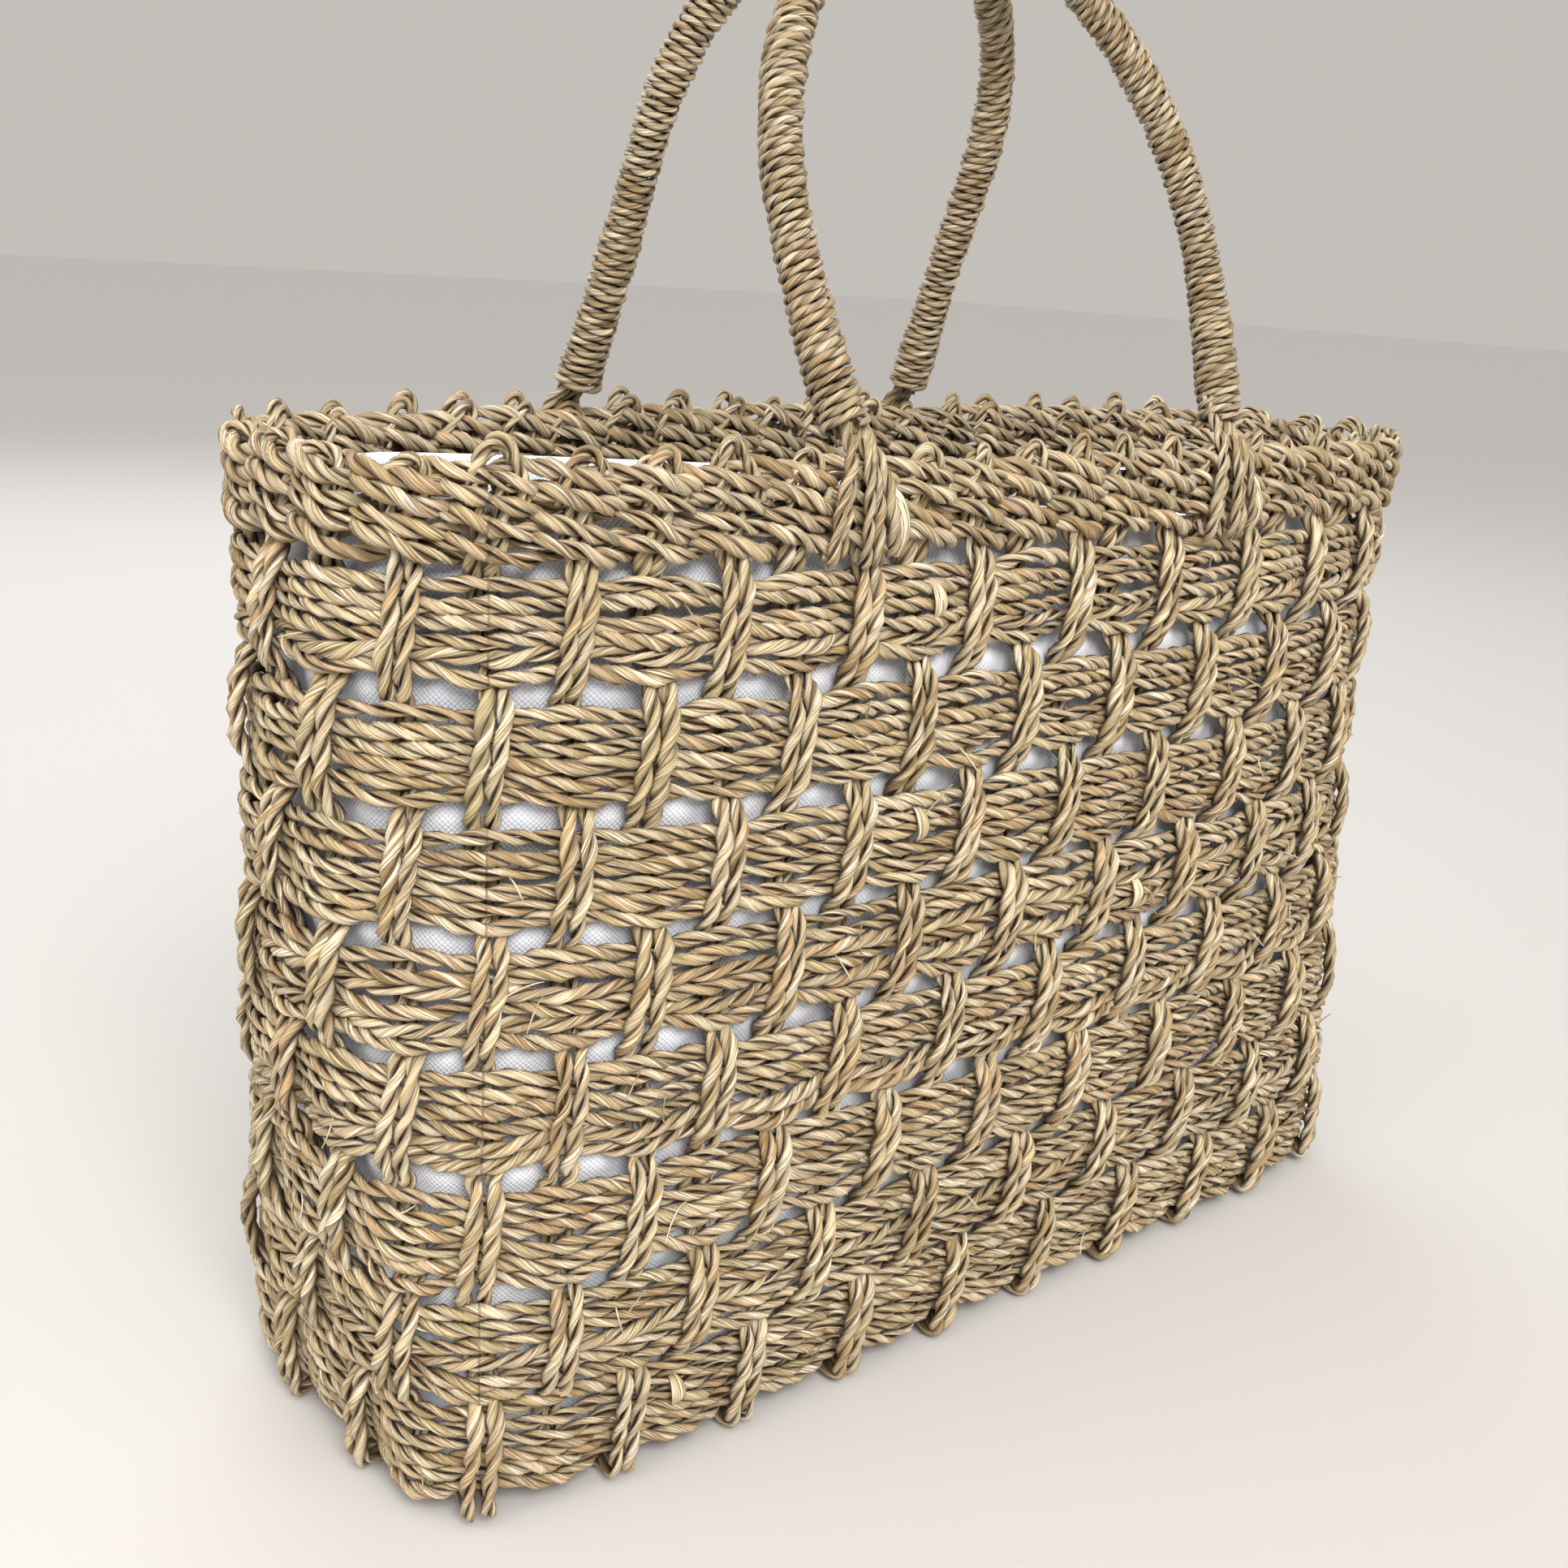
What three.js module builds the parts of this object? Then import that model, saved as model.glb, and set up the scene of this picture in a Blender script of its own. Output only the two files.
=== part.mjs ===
// Woven market basket: a soft-cornered seagrass tote with a cotton liner and two swinging handles.
// Millimetres. +X runs along the long side, +Y across, +Z up; the origin is under the middle of the base.
import * as THREE from 'three';

// ---- driving dimensions --------------------------------------------------------------------

// The wall is a superellipse at every height. A higher squareness gives sharper corners.
const BASE = { halfLength: 205, halfWidth: 64, squareness: 9 };
const MIDDLE = { halfLength: 219.5, halfWidth: 76, squareness: 3 };
const TOP = { halfLength: 220, halfWidth: 68, squareness: 3.6 };
const WALL_HEIGHT = 290;

// Warps are counted round the wall from the front left corner: the front centre is warp 9.
const WARP_COUNT = 48;
const FRONT_CENTRE_WARP = 9;
const LONG_SIDE_WARPS = 18;
const SHORT_SIDE_WARPS = 6;
const WARP_HALF_WIDTH = 0.21;      // in warp spacings, about 4.5 mm
const WARP_THICKNESS = 3.6;

const BAND_COUNT = 8;
const BAND_HEIGHT = 26;
const BAND_THICKNESS = 4.4;
const LOWEST_BAND_Z = 21.3;
const BAND_PITCH = 32.6;

const RIM_ROW_COUNT = 4;
const RIM_ROW_HEIGHT = 5.2;
const RIM_ROW_PITCH = 5.6;
const RIM_ROW_THICKNESS = 4.4;
const LOOP_HEIGHT = 9;             // the bent-over warp ends that stand above the rim

const BASE_BAND_COUNT = 4;
const BASE_BAND_WIDTH = 22;
const BASE_BAND_PITCH = 27;
const BASE_BAND_LENGTH = 376;

const LINER_THICKNESS = 1.2;
const LINER_CLEARANCE = 1.2;
const LINER_TOP = 284;
const LINER_HEIGHTS = [40, 90, 150, 215, LINER_TOP];

// A handle is an arch in a plane that leans in over the opening. Distances in the plane start at
// the rim's top edge. The legs rise from the feet, and the crown is half an ellipse on top of them.
// The two handles are made alike, but the front one has sprung wider than the back one.
const HANDLES = {
  front: { wallSide: -1, centreX: -10, footHalfSpan: 79.5, halfSpan: 87.5, leg: 68, crown: 97 },
  back: { wallSide: 1, centreX: -14, footHalfSpan: 74, halfSpan: 70, leg: 88, crown: 82 },
};
const HANDLE_RIM_Y = 70;
const HANDLE_LEAN = THREE.MathUtils.degToRad(21.4);
const HANDLE_FOOT_CLEARANCE = 15;  // beside a foot, in which no warp stands above the rim
const HANDLE_PIVOT_RISE = 13;
const HANDLE_CORE_DROP = 4.5;      // how far the core hangs out of the wrap below the pivot
const HANDLE_RADIUS = 6.8;
const HANDLE_CORE_RADIUS = 4.2;
const HANDLE_SIDES = 8;
const HANDLE_CORE_SIDES = 6;
const HANDLE_STEPS = 30;
const CROWN_STRETCH = 1.3;         // the length along half a crown, as a share of its rise

const TAIL_THICKNESS = 3;
const TAIL_TOP_HALF_WIDTH = 6;
const TAIL_BOTTOM_HALF_WIDTH = 13;

const GAP = 0.7;                   // between neighbouring pieces

// ---- materials -----------------------------------------------------------------------------

function seagrass(colour) {
  return new THREE.MeshStandardMaterial({ color: colour, roughness: 0.62, metalness: 0 });
}

const BAND_STRAW = seagrass(0xc4ab7a);
const WARP_STRAW = seagrass(0xd0ba8c);
const RIM_STRAW = seagrass(0xb9a274);
const HANDLE_STRAW = seagrass(0xb59d70);
const COTTON = new THREE.MeshStandardMaterial({ color: 0xe8e8ec, roughness: 0.9, metalness: 0 });

// ---- the wall's outline ----------------------------------------------------------------------

const OUTLINE_SAMPLES = 160;

// The outline is a polygon whose corners fall between the warps, so that each warp lies flat on one
// side of it. A corner warp has a short side of its own. Positions are counted in warps.
const OUTLINE_START = -0.3;
const HALF_OUTLINE = [OUTLINE_START, 0.3, 1.5, 3.5, 6.5, 11.5, 14.5, 16.5, 17.7, 18.3, 19.5, 22.5];
const OUTLINE = HALF_OUTLINE.concat(HALF_OUTLINE.map((k) => k + WARP_COUNT / 2));

function throughThree(t, low, middle, high) {
  return low * (1 - t) * (1 - 2 * t) + middle * 4 * t * (1 - t) + high * t * (2 * t - 1);
}

function sectionAt(z) {
  const t = z / WALL_HEIGHT;
  const squareness = throughThree(
    t,
    Math.log(BASE.squareness),
    Math.log(MIDDLE.squareness),
    Math.log(TOP.squareness),
  );
  return {
    halfLength: throughThree(t, BASE.halfLength, MIDDLE.halfLength, TOP.halfLength),
    halfWidth: throughThree(t, BASE.halfWidth, MIDDLE.halfWidth, TOP.halfWidth),
    squareness: Math.exp(squareness),
  };
}

// One lap of the smooth outline, anticlockwise from the front centre, with the distance walked.
function walkOutline(z) {
  const { halfLength, halfWidth, squareness } = sectionAt(z);
  const points = [];
  const laps = 4 * OUTLINE_SAMPLES;
  for (let i = 0; i <= laps; i += 1) {
    const angle = (i / laps) * 2 * Math.PI;
    const across = Math.sin(angle);
    const along = -Math.cos(angle);
    const x = halfLength * Math.sign(across) * Math.abs(across) ** (2 / squareness);
    const y = halfWidth * Math.sign(along) * Math.abs(along) ** (2 / squareness);
    points.push(new THREE.Vector2(x, y));
  }
  const walked = [0];
  for (let i = 1; i < points.length; i += 1) {
    walked.push(walked[i - 1] + points[i].distanceTo(points[i - 1]));
  }
  return { points, walked };
}

function pointAfter(walk, distance) {
  const total = walk.walked[walk.walked.length - 1];
  const target = ((distance % total) + total) % total;
  let i = 1;
  while (walk.walked[i] < target) i += 1;
  const part = (target - walk.walked[i - 1]) / (walk.walked[i] - walk.walked[i - 1]);
  return walk.points[i - 1].clone().lerp(walk.points[i], part);
}

const outlineCache = new Map();

// The outline's corners at one height, each with the direction that moves both of its sides out
// by 1 mm.
function outlineCorners(z) {
  if (!outlineCache.has(z)) {
    const walk = walkOutline(z);
    const spacing = walk.walked[walk.walked.length - 1] / WARP_COUNT;
    const corners = OUTLINE.map((k) => pointAfter(walk, (k - FRONT_CENTRE_WARP) * spacing));
    const outward = corners.map((corner, i) => {
      const before = corners[(i + corners.length - 1) % corners.length];
      const after = corners[(i + 1) % corners.length];
      const normalIn = corner.clone().sub(before).normalize();
      const normalOut = after.clone().sub(corner).normalize();
      const sum = new THREE.Vector2(normalIn.y + normalOut.y, -normalIn.x - normalOut.x);
      return sum.multiplyScalar(2 / sum.lengthSq());
    });
    outlineCache.set(z, { corners, outward });
  }
  return outlineCache.get(z);
}

function cornerPoint(z, i, offset) {
  const { corners, outward } = outlineCorners(z);
  const point = corners[i].clone().addScaledVector(outward[i], offset);
  return new THREE.Vector3(point.x, point.y, z);
}

// A point on the wall beside warp position k, moved out of the wall by offset.
function wallPoint(z, k, offset) {
  const lap = ((k - OUTLINE_START) % WARP_COUNT + WARP_COUNT) % WARP_COUNT;
  const position = lap + OUTLINE_START;
  let i = 0;
  while (i + 1 < OUTLINE.length && OUTLINE[i + 1] <= position) i += 1;
  const next = (i + 1) % OUTLINE.length;
  const end = next === 0 ? OUTLINE[0] + WARP_COUNT : OUTLINE[next];
  const part = (position - OUTLINE[i]) / (end - OUTLINE[i]);
  return cornerPoint(z, i, offset).lerp(cornerPoint(z, next, offset), part);
}

// ---- solids from rows of points ----------------------------------------------------------------

function signedVolume(points, triangles) {
  let sum = 0;
  for (const [a, b, c] of triangles) {
    sum += points[a].dot(new THREE.Vector3().crossVectors(points[b], points[c]));
  }
  return sum / 6;
}

function solidFrom(points, triangles) {
  const facing = signedVolume(points, triangles) > 0
    ? triangles
    : triangles.map(([a, b, c]) => [a, c, b]);
  const geometry = new THREE.BufferGeometry().setFromPoints(points);
  geometry.setIndex(facing.flat());
  geometry.computeVertexNormals();
  return geometry;
}

// Joins equal sections into one solid, either closed on itself or capped at both ends.
function loft(sections, closed) {
  const size = sections[0].length;
  const triangles = [];
  const steps = closed ? sections.length : sections.length - 1;
  for (let s = 0; s < steps; s += 1) {
    const here = s * size;
    const there = ((s + 1) % sections.length) * size;
    for (let v = 0; v < size; v += 1) {
      const w = (v + 1) % size;
      triangles.push([here + v, here + w, there + w]);
      triangles.push([here + v, there + w, there + v]);
    }
  }
  if (!closed) {
    const last = (sections.length - 1) * size;
    for (let v = 1; v < size - 1; v += 1) {
      triangles.push([0, v + 1, v]);
      triangles.push([last, last + v, last + v + 1]);
    }
  }
  return solidFrom(sections.flat(), triangles);
}

const basket = new THREE.Group();

function addPiece(name, geometry, material) {
  const mesh = new THREE.Mesh(geometry, material);
  mesh.name = name;
  basket.add(mesh);
}

// ---- wall bands and rim rows -------------------------------------------------------------------

const RIM_BOTTOM = WALL_HEIGHT - RIM_ROW_COUNT * RIM_ROW_PITCH;
const RIM_ROW_OFFSET = WARP_THICKNESS / 2 + GAP;

function bandCentre(band) {
  return LOWEST_BAND_Z + (BAND_COUNT - band) * BAND_PITCH;
}

// A ring round the wall between two heights and two offsets from the wall's middle.
function wallRing(low, high, inside, outside) {
  const sections = OUTLINE.map((k, i) => [
    cornerPoint(low, i, inside),
    cornerPoint(low, i, outside),
    cornerPoint(high, i, outside),
    cornerPoint(high, i, inside),
  ]);
  return loft(sections, true);
}

function addWallBands() {
  for (let band = 1; band <= BAND_COUNT; band += 1) {
    const low = bandCentre(band) - BAND_HEIGHT / 2;
    const ring = wallRing(low, low + BAND_HEIGHT, -BAND_THICKNESS / 2, BAND_THICKNESS / 2);
    addPiece(`wall_band_${band}`, ring, BAND_STRAW);
  }
}

function addRimRows() {
  for (let row = 1; row <= RIM_ROW_COUNT; row += 1) {
    const high = WALL_HEIGHT - (row - 1) * RIM_ROW_PITCH;
    const outside = RIM_ROW_OFFSET + RIM_ROW_THICKNESS;
    const ring = wallRing(high - RIM_ROW_HEIGHT, high, RIM_ROW_OFFSET, outside);
    addPiece(`rim_row_${row}`, ring, RIM_STRAW);
  }
}

// ---- warps -------------------------------------------------------------------------------------

const WEAVE_OFFSET = (BAND_THICKNESS + WARP_THICKNESS) / 2 + GAP;
const BASE_WARP_Z = BAND_THICKNESS + GAP + WARP_THICKNESS / 2;
const UNDER_BAND_Z = WARP_THICKNESS / 2 + 2 * GAP;
const CROSSING_RISE = 1.6;         // half of the climb where a warp crosses between two bands
const RIM_ENTRY_RISE = 0.6;
const BASE_TURN = WEAVE_OFFSET + 6;
const SHORT_WARP_TUCK = 22;

function passesOutside(warp, band) {
  return (warp + band) % 2 === 0;
}

function footX(handle, side) {
  return handle.centreX + side * handle.footHalfSpan;
}

// Warps that end under a handle's foot stop at the rim, and the others stand up as loops.
function warpTop(warp) {
  const { x, y } = wallPoint(WALL_HEIGHT, warp, 0);
  const handle = y < 0 ? HANDLES.front : HANDLES.back;
  const underFoot = [-1, 1].some((side) => Math.abs(x - footX(handle, side)) < HANDLE_FOOT_CLEARANCE);
  return underFoot ? WALL_HEIGHT : WALL_HEIGHT + LOOP_HEIGHT;
}

// A warp's route from under the base up the wall to the rim. Each step is a height and an offset
// from the wall's middle. The first step lies in the base, tucked in from the wall.
function warpRoute(warp, tuck) {
  const offsetAt = (band) => (passesOutside(warp, band) ? WEAVE_OFFSET : -WEAVE_OFFSET);
  const footZ = passesOutside(warp, BAND_COUNT) ? UNDER_BAND_Z : BASE_WARP_Z;
  const route = [[footZ, offsetAt(BAND_COUNT)]];
  if (tuck > 0) route.unshift([BASE_WARP_Z, -BASE_TURN]);
  if (tuck > BASE_TURN) route.unshift([BASE_WARP_Z, -tuck]);
  for (let band = BAND_COUNT; band > 1; band -= 1) {
    const crossing = bandCentre(band) + BAND_PITCH / 2;
    route.push([crossing - CROSSING_RISE, offsetAt(band)]);
    route.push([crossing + CROSSING_RISE, offsetAt(band - 1)]);
  }
  const rimEntry = (bandCentre(1) + BAND_HEIGHT / 2 + RIM_BOTTOM) / 2;
  route.push([rimEntry - RIM_ENTRY_RISE, offsetAt(1)]);
  route.push([rimEntry + RIM_ENTRY_RISE, 0]);
  route.push([warpTop(warp), 0]);
  return route;
}

// The four corners of a warp's section at one step of its route. The thickness is measured across
// the route, and a turn in the route is mitred.
function warpSection(warp, route, i) {
  const step = (from, to) => new THREE.Vector2(to[0] - from[0], to[1] - from[1]).normalize();
  const arriving = i > 0 ? step(route[i - 1], route[i]) : step(route[i], route[i + 1]);
  const leaving = i + 1 < route.length ? step(route[i], route[i + 1]) : arriving;
  const sum = arriving.clone().add(leaving);
  const across = new THREE.Vector2(-sum.y, sum.x).multiplyScalar(WARP_THICKNESS / sum.lengthSq());
  const [z, offset] = route[i];
  return [[-1, -1], [1, -1], [1, 1], [-1, 1]].map(([side, face]) => wallPoint(
    z + face * across.x,
    warp + side * WARP_HALF_WIDTH,
    offset + face * across.y,
  ));
}

function warpSections(warp, tuck) {
  const route = warpRoute(warp, tuck);
  return route.map((step, i) => warpSection(warp, route, i));
}

// The long sides' warps run right across under the base. Those of the short sides are tucked
// in between the base's bands, and the corner warps end at the corner.
function addWarps() {
  const backOf = (warp) => 2 * LONG_SIDE_WARPS + SHORT_SIDE_WARPS - warp;
  for (let warp = 1; warp < LONG_SIDE_WARPS; warp += 1) {
    const front = warpSections(warp, BASE_TURN);
    const back = warpSections(backOf(warp), BASE_TURN);
    const matched = back.map(([a, b, c, d]) => [b, a, d, c]);
    addPiece(`cross_warp_${warp}`, loft(front.reverse().concat(matched), false), WARP_STRAW);
  }
  for (let step = 1; step < SHORT_SIDE_WARPS; step += 1) {
    const left = warpSections(-step, SHORT_WARP_TUCK);
    const right = warpSections(LONG_SIDE_WARPS + step, SHORT_WARP_TUCK);
    addPiece(`left_warp_${step}`, loft(left, false), WARP_STRAW);
    addPiece(`right_warp_${step}`, loft(right, false), WARP_STRAW);
  }
  const cornerWarps = {
    front_left: 0,
    front_right: LONG_SIDE_WARPS,
    back_right: LONG_SIDE_WARPS + SHORT_SIDE_WARPS,
    back_left: 2 * LONG_SIDE_WARPS + SHORT_SIDE_WARPS,
  };
  for (const [corner, warp] of Object.entries(cornerWarps)) {
    addPiece(`corner_warp_${corner}`, loft(warpSections(warp, 0), false), WARP_STRAW);
  }
}

// ---- base and liner ----------------------------------------------------------------------------

function addBaseBands() {
  for (let band = 1; band <= BASE_BAND_COUNT; band += 1) {
    const box = new THREE.BoxGeometry(BASE_BAND_LENGTH, BASE_BAND_WIDTH, BAND_THICKNESS);
    const y = (band - (BASE_BAND_COUNT + 1) / 2) * BASE_BAND_PITCH;
    box.translate(0, y, BAND_THICKNESS / 2);
    addPiece(`base_band_${band}`, box, BAND_STRAW);
  }
}

// The liner is an open bag: an outer and an inner skin joined round the hem.
function addLiner() {
  const outside = -(WEAVE_OFFSET + WARP_THICKNESS / 2 + LINER_CLEARANCE);
  const inside = outside - LINER_THICKNESS;
  const floor = BASE_WARP_Z + WARP_THICKNESS / 2 + GAP;
  const ring = (z, offset) => OUTLINE.map((k, i) => cornerPoint(z, i, offset));
  const skin = (bottom, offset) => [bottom, ...LINER_HEIGHTS].map((z) => ring(z, offset));
  const outer = skin(floor, outside);
  const inner = skin(floor + LINER_THICKNESS, inside);
  addPiece('cotton_liner', loft(outer.concat(inner.reverse()), false), COTTON);
}

// ---- handles -----------------------------------------------------------------------------------

// The centre line of one handle from its left foot over the crown to its right foot.
class HandleArch extends THREE.Curve {
  constructor(handle, footRise) {
    super();
    this.handle = handle;
    this.footRise = footRise;
  }

  getPoint(t) {
    const { wallSide, centreX, footHalfSpan, halfSpan, leg, crown } = this.handle;
    const half = 1 - Math.abs(2 * t - 1);
    const side = t < 0.5 ? -1 : 1;
    const legLength = leg - this.footRise;
    const legShare = legLength / (legLength + CROWN_STRETCH * crown);
    let rise;
    let span;
    if (half < legShare) {
      rise = this.footRise + legLength * (half / legShare);
      span = footHalfSpan + (halfSpan - footHalfSpan) * Math.sin((rise / leg) * (Math.PI / 2));
    } else {
      const angle = ((half - legShare) / (1 - legShare)) * (Math.PI / 2);
      rise = leg + crown * Math.sin(angle);
      span = halfSpan * Math.cos(angle);
    }
    const y = wallSide * (HANDLE_RIM_Y - rise * Math.sin(HANDLE_LEAN));
    const z = WALL_HEIGHT + rise * Math.cos(HANDLE_LEAN);
    return new THREE.Vector3(centreX + side * span, y, z);
  }
}

function handleTube(path, sides, outerRadius, innerRadius) {
  const shape = new THREE.Shape().absarc(0, 0, outerRadius, 0, 2 * Math.PI);
  if (innerRadius > 0) {
    shape.holes.push(new THREE.Path().absarc(0, 0, innerRadius, 0, 2 * Math.PI, true));
  }
  return new THREE.ExtrudeGeometry(shape, {
    steps: HANDLE_STEPS,
    curveSegments: sides / 2,
    extrudePath: path,
    bevelEnabled: false,
  });
}

function addHandle(wallName, handle) {
  const wrapPath = new HandleArch(handle, HANDLE_PIVOT_RISE);
  const corePath = new HandleArch(handle, HANDLE_PIVOT_RISE - HANDLE_CORE_DROP);
  const wrap = handleTube(wrapPath, HANDLE_SIDES, HANDLE_RADIUS, HANDLE_CORE_RADIUS + 2 * GAP);
  addPiece(`${wallName}_handle_wrap`, wrap, HANDLE_STRAW);
  const core = handleTube(corePath, HANDLE_CORE_SIDES, HANDLE_CORE_RADIUS, 0);
  addPiece(`${wallName}_handle_core`, core, HANDLE_STRAW);
}

// The core's cord ends, fanned out over the outside of the rim below one foot of a handle.
function addTails(wallName, handle, sideName, side) {
  const inside = RIM_ROW_OFFSET + RIM_ROW_THICKNESS + GAP;
  const stations = [
    { z: WALL_HEIGHT + 1, half: TAIL_TOP_HALF_WIDTH },
    { z: (WALL_HEIGHT + RIM_BOTTOM) / 2, half: (TAIL_TOP_HALF_WIDTH + TAIL_BOTTOM_HALF_WIDTH) / 2 },
    { z: RIM_BOTTOM - 1, half: TAIL_BOTTOM_HALF_WIDTH },
  ];
  const sections = stations.map(({ z, half }) => {
    const corners = [];
    for (const [edge, face] of [[-1, 0], [1, 0], [1, 1], [-1, 1]]) {
      const warp = warpBesideX(footX(handle, side) + edge * half, handle.wallSide);
      corners.push(wallPoint(z, warp, inside + face * TAIL_THICKNESS));
    }
    return corners;
  });
  addPiece(`${wallName}_handle_tails_${sideName}`, loft(sections, false), HANDLE_STRAW);
}

// The warp position on the front or back wall that is nearest to x at the rim.
function warpBesideX(x, wallSide) {
  const middle = wallSide < 0 ? FRONT_CENTRE_WARP : FRONT_CENTRE_WARP + WARP_COUNT / 2;
  const spacing = wallPoint(WALL_HEIGHT, FRONT_CENTRE_WARP + 1, 0).x;
  return middle - (wallSide * x) / spacing;
}

// ---- assembly ----------------------------------------------------------------------------------

addWallBands();
addRimRows();
addBaseBands();
addWarps();
addLiner();
for (const [wallName, handle] of Object.entries(HANDLES)) {
  addHandle(wallName, handle);
  addTails(wallName, handle, 'left', -1);
  addTails(wallName, handle, 'right', 1);
}

export default basket;
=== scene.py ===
"""The looks of the woven market basket: every cord as two twisted plies, and the cotton liner."""
import math

import bpy
import numpy as np
from mathutils import Matrix, Vector


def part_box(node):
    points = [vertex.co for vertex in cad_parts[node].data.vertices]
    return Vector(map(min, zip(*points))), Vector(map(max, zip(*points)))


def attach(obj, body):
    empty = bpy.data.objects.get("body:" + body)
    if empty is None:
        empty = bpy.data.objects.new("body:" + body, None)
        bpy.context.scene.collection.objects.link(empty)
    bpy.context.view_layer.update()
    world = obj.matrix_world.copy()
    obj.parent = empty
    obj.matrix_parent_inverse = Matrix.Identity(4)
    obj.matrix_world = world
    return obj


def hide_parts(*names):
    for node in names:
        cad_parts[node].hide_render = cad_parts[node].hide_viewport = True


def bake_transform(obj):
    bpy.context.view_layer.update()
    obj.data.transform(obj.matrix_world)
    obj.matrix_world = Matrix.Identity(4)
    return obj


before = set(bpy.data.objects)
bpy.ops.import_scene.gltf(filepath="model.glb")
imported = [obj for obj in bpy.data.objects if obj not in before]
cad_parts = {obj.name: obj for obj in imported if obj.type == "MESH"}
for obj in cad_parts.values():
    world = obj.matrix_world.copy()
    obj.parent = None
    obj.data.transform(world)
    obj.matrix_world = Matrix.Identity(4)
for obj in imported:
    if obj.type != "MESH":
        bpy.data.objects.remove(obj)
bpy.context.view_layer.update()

MM = 0.001
SEED = 20

# ---- driving dimensions, in millimetres, as the CAD model has them -------------------------------

BASE = {"half_length": 205, "half_width": 64, "squareness": 9}
MIDDLE = {"half_length": 219.5, "half_width": 76, "squareness": 3}
TOP = {"half_length": 220, "half_width": 68, "squareness": 3.6}
WALL_HEIGHT = 290

WARP_COUNT = 48
FRONT_CENTRE_WARP = 9
LONG_SIDE_WARPS = 18
SHORT_SIDE_WARPS = 6
WARP_SPACING = 21.4
BAND_COUNT = 8
RIM_ROW_COUNT = 4
BASE_BAND_COUNT = 4

HANDLES = {
    "front": {"wall_side": -1, "centre_x": -10, "foot": 79.5, "half_span": 87.5, "leg": 68, "crown": 97},
    "back": {"wall_side": 1, "centre_x": -14, "foot": 74, "half_span": 70, "leg": 88, "crown": 82},
}
HANDLE_RIM_Y = 70
HANDLE_LEAN = math.radians(21.4)
HANDLE_PIVOT_RISE = 13
FOOT_CLEARANCE = 15         # beside a foot, in which no loop stands above the rim

# ---- the cords -----------------------------------------------------------------------------------

# One twist of a cord takes its pitch. A ply's section is drawn with so many sides. A cord whose lay
# is below 1 is pressed flat.
BAND_CORD = {"diameter": 4.5, "pitch": 18.5, "sides": 10, "step": 1.45, "uneven": 0.36, "lay": 1}
WARP_CORD = {"diameter": 4.7, "pitch": 19, "sides": 12, "step": 1.2, "uneven": 0.3, "lay": 1}
RIM_CORD = {"diameter": 4.8, "pitch": 20, "sides": 10, "step": 1.25, "uneven": 0.38, "lay": 1}
LOOP_CORD = {"diameter": 3.4, "pitch": 15, "sides": 8, "step": 0.9, "uneven": 0.25, "lay": 1}
WRAP_CORD = {"diameter": 3.4, "pitch": 13, "sides": 6, "step": 0.95, "uneven": 0.22, "lay": 0.55}
TAIL_CORD = {"diameter": 3.6, "pitch": 15, "sides": 10, "step": 0.9, "uneven": 0.22, "lay": 1}

CORDS_IN_BAND = 6
BAND_CORD_SPACING = (4.3, 5.0)      # in the top band and in the bottom band
REVERSE_TWIST = 0.08        # the share of a band's cords that are twisted the other way
BAND_SWAY = 1.4             # how far a warp pushes a band in or out
RIM_SWAY = 3.6              # how far a rim cord stands out in front of a warp
RIM_TWINE = 2.3             # how far it rises and drops as it twines with its partner
WARP_SWAY = 4.3             # how far a warp stands out of the wall over a band
WARP_PAIR_GAP = 4.8         # between the middles of a warp's two cords
WARP_SLANT = 0.07           # in warp spacings


def rest_height(node):
    """The height of the middle of a CAD node, in millimetres."""
    low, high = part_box(node)
    return (low[2] + high[2]) / 2 / MM


BAND_HEIGHTS = [rest_height(f"wall_band_{band}") for band in range(1, BAND_COUNT + 1)]
ROW_HEIGHTS = [rest_height(f"rim_row_{row}") for row in range(1, RIM_ROW_COUNT + 1)]
BAND_PITCH = BAND_HEIGHTS[0] - BAND_HEIGHTS[1]


# ---- the wall's smooth surface -------------------------------------------------------------------

def through_three(t, low, middle, high):
    return low * (1 - t) * (1 - 2 * t) + middle * 4 * t * (1 - t) + high * t * (2 * t - 1)


def outline(z, count):
    """Points at equal distances round the wall at a height, anticlockwise from the front left corner."""
    t = z / WALL_HEIGHT
    half_length = through_three(t, *(s["half_length"] for s in (BASE, MIDDLE, TOP)))
    half_width = through_three(t, *(s["half_width"] for s in (BASE, MIDDLE, TOP)))
    squareness = math.exp(through_three(t, *(math.log(s["squareness"]) for s in (BASE, MIDDLE, TOP))))
    angle = np.linspace(0, 2 * np.pi, 2401)
    across, along = np.sin(angle), -np.cos(angle)
    x = half_length * np.sign(across) * np.abs(across) ** (2 / squareness)
    y = half_width * np.sign(along) * np.abs(along) ** (2 / squareness)
    walked = np.concatenate([[0], np.cumsum(np.hypot(np.diff(x), np.diff(y)))])
    start = -FRONT_CENTRE_WARP / WARP_COUNT
    wanted = (start + np.arange(count) / count) % 1 * walked[-1]
    return np.stack([np.interp(wanted, walked, x), np.interp(wanted, walked, y)], axis=1)


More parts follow.
